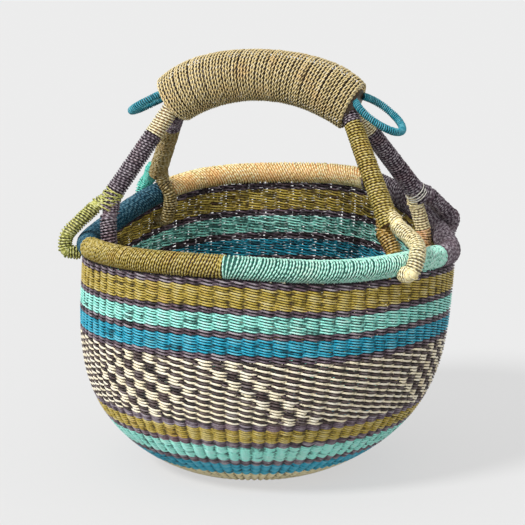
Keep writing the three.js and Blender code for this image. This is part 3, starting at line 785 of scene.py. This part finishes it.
def add_stakes():
    """Stakes inside the weave, across the floor and up under the rim. Every other one starts nearer the
    middle."""
    strands = Strands()
    floor = np.linspace(STAKE_START, BASE_RADIUS, FLOOR_POINTS + 1)[:-1]
    z = np.linspace(LOWEST_ROW, WALL_HEIGHT, STAKE_POINTS)
    for stake in range(STAKES):
        angle = stake * STAKE_TURN + stake_stray[stake]
        wall, normal, _ = wall_frame(z, angle, WALL_THICKNESS / 2)
        ca, sa = math.cos(angle), math.sin(angle)
        inner = floor[FLOOR_POINTS // 2 + 1:] if stake % 2 else floor
        flat = np.stack([inner * ca, inner * sa, np.full(inner.shape, WALL_THICKNESS / 2)], -1)
        out = np.concatenate([np.tile([0, 0, -1.0], (len(inner), 1)), normal])
        path = np.concatenate([flat, wall])
        side = np.tile([-sa, ca, 0], (len(path), 1))
        tone = rng.normal(STAKE_TONE, STAKE_TONE_SPREAD)
        strands.add(path, out, side, STAKE_DEEP, STAKE_WIDE, tone, sides=STAKE_SIDES)
    make_piece(strands, "stakes", "dark")


# Straw wound round a route
def lengths(path):
    """How far along the path each of its points lies."""
    return np.concatenate([[0], np.cumsum(np.linalg.norm(np.diff(path, axis=0), axis=1))])


def resample(place, along, values):
    """Rows of values, which belong to the lengths along, at other lengths."""
    return np.stack([np.interp(place, along, column) for column in values.T], -1)


def smooth_route(points):
    """Evenly spaced points on a Catmull-Rom curve through the given ones."""
    points = np.asarray(points, float)
    ends = np.concatenate([[2 * points[0] - points[1]], points, [2 * points[-1] - points[-2]]])
    t = np.linspace(0, 1, CURVE_STEPS + 1)[:-1, None]
    out = []
    for a, b, c, d in zip(ends, ends[1:], ends[2:], ends[3:]):
        bend, turn = 2 * a - 5 * b + 4 * c - d, 3 * b - a - 3 * c + d
        out.append(0.5 * (2 * b + (c - a) * t + bend * t**2 + turn * t**3))
    fine = np.concatenate(out + [points[-1:]])
    along = lengths(fine)
    return resample(np.linspace(0, along[-1], max(3, int(along[-1] / ROUTE_STEP))), along, fine)


def route_axes(path, up):
    """A path's direction and two axes square to it, the first from up, carried along it without twist."""
    up = np.asarray(up, float)
    tangent = unit(np.gradient(path, axis=0))
    normal = np.empty_like(path)
    normal[0] = unit(up - tangent[0] * np.dot(up, tangent[0]))
    for i in range(1, len(path)):
        normal[i] = unit(normal[i - 1] - tangent[i] * np.dot(normal[i - 1], tangent[i]))
    return tangent, normal, np.cross(tangent, normal)


def drifting(loop, spread, per_turn=1):
    """Random values along a helix, drawn at even places of each turn and joined by straight lines."""
    knots = round(loop[-1]) * per_turn + 2
    return np.interp(loop * per_turn, np.arange(knots), rng.normal(0, spread, knots))


def wind(strands, path, radius, pitch, thin=STRIP_THIN, broad=STRIP_BROAD, grain=STRIP_GRAIN, up=UPRIGHT,
         lean=0.0, slant=0.0, tone=STRIP_TONE, hand=1, phase=0.0):
    """A strip wound in one helix round a path, whose radius may vary. lean and slant tip each turn along the
    path. grain is how far the strip runs in half a twist of its own, or None for a strip without one."""
    tangent, normal, binormal = route_axes(path, up)
    along = lengths(path)
    turns = max(1, round(along[-1] / pitch))
    around = 2 * math.pi * float(np.mean(radius))
    steps = math.ceil(around / (grain / STRIP_STEPS_PER_GRAIN)) if grain else ROUND_STRIP_STEPS
    loop = np.arange(turns * steps + 1) / steps
    angle = hand * 2 * math.pi * loop + phase

    # Where each point of the helix lies along the path. Its turns don't tip at either end
    ran = loop / turns * along[-1]
    ease = np.clip(np.minimum(ran, along[-1] - ran) / TIP_EASE, 0, 1)
    tip = (lean * np.sin(angle) + slant * np.cos(angle)) * (1 + drifting(loop, TIP_STRAY)) * ease
    place = np.clip(ran + tip + drifting(loop, STRIP_PITCH_STRAY * pitch), 0, along[-1])

    centre = resample(place, along, path)
    first, second, ahead = (unit(resample(place, along, axis)) for axis in (normal, binormal, tangent))
    size = np.interp(place, along, np.broadcast_to(radius, along.shape))
    size = size + drifting(loop, STRIP_THIN_STRAY * thin)
    out = first * np.cos(angle)[:, None] + second * np.sin(angle)[:, None]
    line = centre + out * size[:, None]
    tones = tone + drifting(loop, STRIP_TONE_SPREAD, STRIP_TONES_PER_TURN)
    across = ahead
    if grain:
        twist = math.pi * loop * around / grain + drifting(loop, STRIP_TWIST_STRAY)
        out, across = (out * np.cos(twist)[:, None] + ahead * np.sin(twist)[:, None],
                       ahead * np.cos(twist)[:, None] - out * np.sin(twist)[:, None])
        # Painted relief: the strip is lighter where its broad face turns out, darker edge-on
        tones = tones + STRIP_PAINTED_RELIEF * np.cos(twist) ** 2 - STRIP_PAINTED_RELIEF_OFFSET
    strands.add(line, out, across, thin, broad * (1 + drifting(loop, STRIP_BROAD_STRAY)), tones)


def add_sleeve(strands, path, radius, tone, up):
    """A plain tube under the straw, so that nothing shows through between turns. Its tone is painted shade.
    """
    _, normal, binormal = route_axes(path, up)
    strands.add(path, normal, binormal, radius, radius, tone, sides=SLEEVE_SIDES)


def wrapped(name, dye, path, radius, node, pitch=LEG_PITCH, sink=STRIP_SINK, gap_shade_tone=SLEEVE_SHADE_TONE, up=UPRIGHT,
            **more):
    """A straw-wrapped length of the basket, which stands for one node."""
    radius = np.broadcast_to(radius, len(path)).astype(float)
    cover, under = Strands(), Strands()
    wind(cover, path, np.maximum(radius - sink, LEAST_TURN), pitch, up=up, **more)
    make_piece(cover, name, dye, node)
    # The sleeve under the turns is painted shade
    add_sleeve(under, path, np.maximum(radius - SLEEVE_SINKS * sink, LEAST_SLEEVE), gap_shade_tone, up)
    make_piece(under, f"{name}_under", dye, node)


def wrap_rim():
    for node, dye, start, end in RIM_WRAPS:
        angles = np.radians(np.linspace(start, end, int((end - start) * POINTS_PER_DEGREE)))
        # The sleeve under the rim's turns is painted shade, darker than on the legs
        wrapped(f"wound_{node}", dye, rim_point(angles), RIM_TUBE, node, pitch=RIM_PITCH, lean=RIM_LEAN,
                slant=RIM_SLANT, broad=RIM_BROAD, gap_shade_tone=GAP_SHADE_TONE)


def leg_route(leg, start, end):
    """Points down a leg between two distances from its top, and its radius there."""
    places = np.linspace(start, end, max(3, int((end - start) / LEG_STEP)))
    radius = SLEEVE_TOP_RADIUS + (leg["end_radius"] - SLEEVE_TOP_RADIUS) * places / leg["length"]
    return leg["exit"] + leg["down"] * places[:, None], radius


def wrap_leg(key, part, dye, start, end, **more):
    leg, node = LEGS[key], f"leg_{key}_{part}"
    path, radius = leg_route(leg, start, end)
    wrapped(f"wound_{node}", dye, path, radius, node, up=leg["outward"], slant=LEG_SLANT, **more)


def lash_leg():
    """Slanting lime straw, well spaced, over dark straw where leg A splits."""
    leg, node = LEGS["a"], "leg_a_lime_lashing"
    path, radius = leg_route(leg, leg["length"] - LASHING_LENGTH, leg["length"])
    lime, under = Strands(), Strands()
    for hand, slant, phase in LASHING_RUNS:
        wind(lime, path, radius - LASHING_SINK, LASHING_PITCH, broad=LASHING_BROAD, up=leg["outward"],
             slant=slant, hand=hand, phase=phase)
    wind(under, path, radius - LASHED_SINK, LEG_PITCH, up=leg["outward"])
    # Painted shade under the dark turns
    add_sleeve(under, path, radius - LASHED_SLEEVE_SINK, GAP_SHADE_TONE, leg["outward"])
    make_piece(lime, "lashing_lime", "lime", node)
    make_piece(under, "lashing_dark", "purple", node)


def limb_route(leg, side, radius, route):
    """From inside the leg's end to the points of route, each along the rim, outward from it and up."""
    across = unit(leg["outward"] - leg["down"] * np.dot(leg["outward"], leg["down"]))
    start = leg["split"] + across * side * (radius + 2 * SEAT_GAP)
    roots = [leg["split"] - leg["down"] * back + across * side * radius * share for back, share in LIMB_ROOTS]
    foot = math.radians(leg["angle"])
    rest = [rim_point(foot + along / RIM_RADIUS, outward, up) for along, outward, up in route]
    return smooth_route([*roots, start, start + leg["down"] * radius / 2, *rest])


def outer_route(radius, drift, stand_off, tuck):
    """Over the rim, down its outside and in under it. Its points are in shares of drift, hug and under."""
    hug = RIM_TUBE + LIMB_CLEARANCE + radius + stand_off
    under = (RIM_TUBE + LIMB_CLEARANCE + radius) * tuck
    return [
        (drift * 0.35, hug * 0.42, hug * 0.92),
        (drift * 0.7, hug * 0.9, hug * 0.42),
        (drift, hug, -hug * 0.2),
        (drift * 1.05, hug * 0.8, -under * 0.75),
        (drift * 1.05, RIM_INSET - WALL_THICKNESS / 2 + LIMB_PAST_WALL, -under),
    ]


def inner_route(radius, drift, droop):
    """Down the inside of the rim and in under it."""
    hug = RIM_TUBE + LIMB_CLEARANCE + radius
    return [
        (drift * 0.5, -hug * 0.98, hug * 0.3),
        (drift, -hug * 0.95, -hug * 0.35),
        (drift, -hug * 0.6, -hug * 0.85 * droop),
        (drift, RIM_INSET - WALL_THICKNESS / 2, -hug * droop),
    ]


def wrap_limb(key, part, dye, low_dye=None):
    """One limb of a leg's split end. low_dye takes over halfway. The sleeve's painted shade is lighter where
    turns part.
    """
    leg, node = LEGS[key], f"leg_{key}_{part}_limb"
    limb, shape, side = (OUTER_LIMBS, outer_route, 1) if part == "outer" else (INNER_LIMBS, inner_route, -1)
    radius = limb[key]["radius"]
    route = limb_route(leg, side, radius, shape(**limb[key]))

    # closing goes from 0 to 1 over the rounded end, and bend is how sharply the route turns for its radius
    step = np.linalg.norm(np.diff(route, axis=0), axis=1).mean()
    left = np.arange(len(route))[::-1] * step
    closing = np.clip(1 - left / (LIMB_ROUNDING * radius), 0, 1)
    bend = np.linalg.norm(np.gradient(unit(np.gradient(route, axis=0)), axis=0), axis=1) / step * radius

    # Where turns part, the sleeve's painted shade is lighter
    parting = np.clip(np.maximum(BEND_PARTING * bend, CLOSING_PARTING * closing), 0, 1)
    gap_shade_tone = LIMB_SLEEVE_SHADE_TONE + LIMB_SLEEVE_LIGHTER * parting
    sizes = radius * np.sqrt(1 - LIMB_CLOSED * closing**2)
    half = len(route) // 2 if low_dye else len(route) - 1
    for suffix, colour, span in (("", dye, slice(0, half + 1)), ("_low", low_dye, slice(half, None))):
        if colour:
            wrapped(f"wound_{node}{suffix}", colour, route[span], sizes[span], node, up=leg["outward"],
                    slant=LIMB_SLANT, gap_shade_tone=gap_shade_tone[span])


def wrap_handle():
    a, b, c, d = (LEGS[key]["length"] for key in "abcd")
    wrap_leg("a", "cream_wrap", "cream", SLEEVE_START, CREAM_LENGTH_A, tone=CREAM_TONE)
    wrap_leg("a", "purple_wrap", "purple", CREAM_LENGTH_A, a - LASHING_LENGTH)
    lash_leg()
    wrap_leg("b", "purple_wrap", "purple", SLEEVE_START, PURPLE_LENGTH_B)
    # A darker copy of olive: painted shade on the far leg
    wrap_leg("b", "olive_wrap", "olive_shaded", PURPLE_LENGTH_B, b)
    wrap_leg("c", "purple_wrap", "purple", 0, PURPLE_LENGTH_C)
    wrap_leg("c", "olive_wrap", "olive", PURPLE_LENGTH_C, c)
    wrap_leg("d", "cream_wrap", "cream", SLEEVE_START, CREAM_LENGTH_D, tone=CREAM_TONE)
    wrap_leg("d", "purple_wrap", "purple", CREAM_LENGTH_D, d)
    for key, outer, inner in LIMB_DYES:
        wrap_limb(key, "outer", outer)
        wrap_limb(key, "inner", *inner)


def add_tie():
    leg = LEGS["d"]
    strands = Strands()
    end = leg["length"] - TIE_FROM_SPLIT
    path, _ = leg_route(leg, end - TIE_LENGTH, end)
    radius = leg["end_radius"] + TIE_OUT
    wind(strands, path, radius, TIE_PITCH, TIE_THIN, TIE_BROAD, TIE_GRAIN, leg["outward"], TIE_LEAN)
    make_piece(strands, "thread_tie", "white", "leg_d_white_tie")


def add_grip_cord():
    """Two plies of straw twisted together and wound round the grip in one run, closing in over both ends."""
    total = CORD_TURNS + 2 * CORD_END_TURNS
    loop = np.arange(total * CORD_STEPS_PER_TURN + 1) / CORD_STEPS_PER_TURN
    angle = 2 * math.pi * loop
    along_grip = np.clip((loop - CORD_END_TURNS) / CORD_TURNS, 0, 1)
    tip = CORD_TIP * np.sin(angle + CORD_TIP_START)
    turn = (-1 + 2 * along_grip) * CORD_COVERS + drifting(loop, CORD_PLACE_STRAY) + tip
    centre, up, _, (above, below) = grip_frame(turn)
    past_end = np.maximum(CORD_END_TURNS - loop, loop - CORD_END_TURNS - CORD_TURNS)
    closing = np.maximum(past_end, 0) * CORD_END_STEP
    height = np.where(np.cos(angle) > 0, above, below) - CORD_RADIUS
    height = height * (1 + drifting(loop, CORD_SIZE_STRAY)) - closing
    width = (GRIP_WIDTH / 2 - CORD_RADIUS) * (1 + drifting(loop, CORD_SIZE_STRAY)) - closing
    line = centre + up * (height * np.cos(angle))[:, None] + GRIP_SIDE * (width * np.sin(angle))[:, None]
    out = unit(line - centre)
    across = np.cross(unit(np.gradient(line, axis=0)), out)
    ply_turn = 2 * math.pi * lengths(line) / PLY_PITCH + drifting(loop, PLY_STRAY)
    for k, name in enumerate(("grip_ply_1", "grip_ply_2")):
        strands = Strands()
        ply = ply_turn + math.pi * k
        offset = out * (PLY_OUT * np.cos(ply))[:, None] + across * (PLY_ACROSS * np.sin(ply))[:, None]
        # Painted relief: each ply lighter where it lies out, darker where it turns in
        tone = CORD_TONE + CORD_PAINTED_RELIEF * np.cos(ply)
        tone = tone + drifting(loop, CORD_TONE_SPREAD, CORD_TONES_PER_TURN)
        strands.add(line + offset, out, across, PLY_DEEP, PLY_WIDE, tone)
        make_piece(strands, name, "cord", "grip_cord")


def loop_path(end, reach, twist, raised):
    """An open oval out of an end of the grip, raised and twisted by degrees, and the axis square to it."""
    centre, up, forward, _ = grip_frame(float(end))
    side = Vector(GRIP_SIDE)
    out = Vector(forward * end)
    out.rotate(Quaternion(side, math.radians(-end * raised)))
    across = side.copy()
    across.rotate(Quaternion(out, math.radians(-end * twist)))
    out, across = np.array(out), np.array(across)
    root = centre + up * LOOP_LIFT + out * SEAT_GAP
    open_angle = math.radians(LOOP_OPEN)
    middle = root - out * reach * math.cos(open_angle)
    turn = np.linspace(-open_angle, open_angle, LOOP_POINTS)
    path = middle + out * (reach * np.cos(turn))[:, None] + across * (LOOP_HALF_WIDTH * np.sin(turn))[:, None]
    return path, np.cross(out, across)


def add_hanging_loops():
    for node, loop in LOOPS.items():
        path, up = loop_path(**loop)
        wrapped(f"wound_{node}", "teal", path, LOOP_TUBE, node, pitch=LOOP_PITCH, sink=LOOP_SINK, up=up,
                thin=LOOP_THIN, broad=LOOP_BROAD, grain=None, lean=LOOP_LEAN)


weave_body()
add_stakes()
wrap_rim()
wrap_handle()
add_tie()
add_grip_cord()
add_hanging_loops()

# Bundles of grass inside the rim and the handle, whose solids stay
for node in ("rim_core", "front_arch", "back_arch", "grip_padding"):
    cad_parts[node].data.materials.clear()
    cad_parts[node].data.materials.append(MATERIALS["core"])


# Floor, light and camera
def add_floor():
    """A pale floor. Only camera, glossy and transmission rays see its glow, so it lights nothing matt."""
    mesh = bpy.data.meshes.new("floor")
    corners = [(x * FLOOR_REACH, y * FLOOR_REACH, 0) for x, y in ((-1, -1), (1, -1), (1, 1), (-1, 1))]
    mesh.from_pydata(corners, [], [(0, 1, 2, 3)])
    material = bpy.data.materials.new("floor_pale")
    material.use_nodes = True
    nodes, links = material.node_tree.nodes, material.node_tree.links
    shader = nodes["Principled BSDF"]
    shader.inputs["Base Color"].default_value = (FLOOR_GREY, FLOOR_GREY, FLOOR_GREY, 1)
    shader.inputs["Roughness"].default_value = FLOOR_ROUGHNESS
    shader.inputs["Specular IOR Level"].default_value = 0.0
    shader.inputs["Emission Color"].default_value = (1, 1, 1, 1)
    rays = nodes.new("ShaderNodeLightPath")
    seen = rays.outputs["Is Camera Ray"]
    for kind in ("Is Glossy Ray", "Is Transmission Ray"):
        either = nodes.new("ShaderNodeMath")
        either.operation = "MAXIMUM"
        links.new(seen, either.inputs[0])
        links.new(rays.outputs[kind], either.inputs[1])
        seen = either.outputs[0]
    glow = nodes.new("ShaderNodeMath")
    glow.operation = "MULTIPLY"
    glow.inputs[1].default_value = FLOOR_GLOW
    links.new(seen, glow.inputs[0])
    links.new(glow.outputs[0], shader.inputs["Emission Strength"])
    mesh.materials.append(material)
    new_object("floor", mesh)


def add_world():
    world = bpy.data.worlds.new("studio")
    world.use_nodes = True
    background = world.node_tree.nodes["Background"]
    background.inputs["Color"].default_value = (1, 1, 1, 1)
    background.inputs["Strength"].default_value = WORLD_STRENGTH
    bpy.context.scene.world = world


def add_sun(name, strength, angle, direction):
    light = bpy.data.lights.new(name, "SUN")
    light.energy = strength
    light.angle = math.radians(angle)
    new_object(name, light).rotation_euler = Vector(direction).to_track_quat("-Z", "Y").to_euler()


def add_camera():
    """The photograph's view: 11 degrees down, about 2.2 m away, with a long lens."""
    tilt = math.radians(CAMERA_TILT)
    place = np.array(CAMERA_TARGET) + np.array([0, -math.cos(tilt), math.sin(tilt)]) * CAMERA_DISTANCE
    data = bpy.data.cameras.new("camera")
    data.sensor_width = CAMERA_SENSOR
    data.lens = CAMERA_LENS
    data.shift_x, data.shift_y = CAMERA_SHIFT
    camera = new_object("camera", data)
    camera.rotation_euler = (math.pi / 2 - tilt, 0, 0)
    camera.location = place * MM
    bpy.context.scene.camera = camera


add_floor()
add_world()
for sun in SUNS:
    add_sun(*sun)
add_camera()
bpy.context.scene.view_settings.view_transform = "Standard"
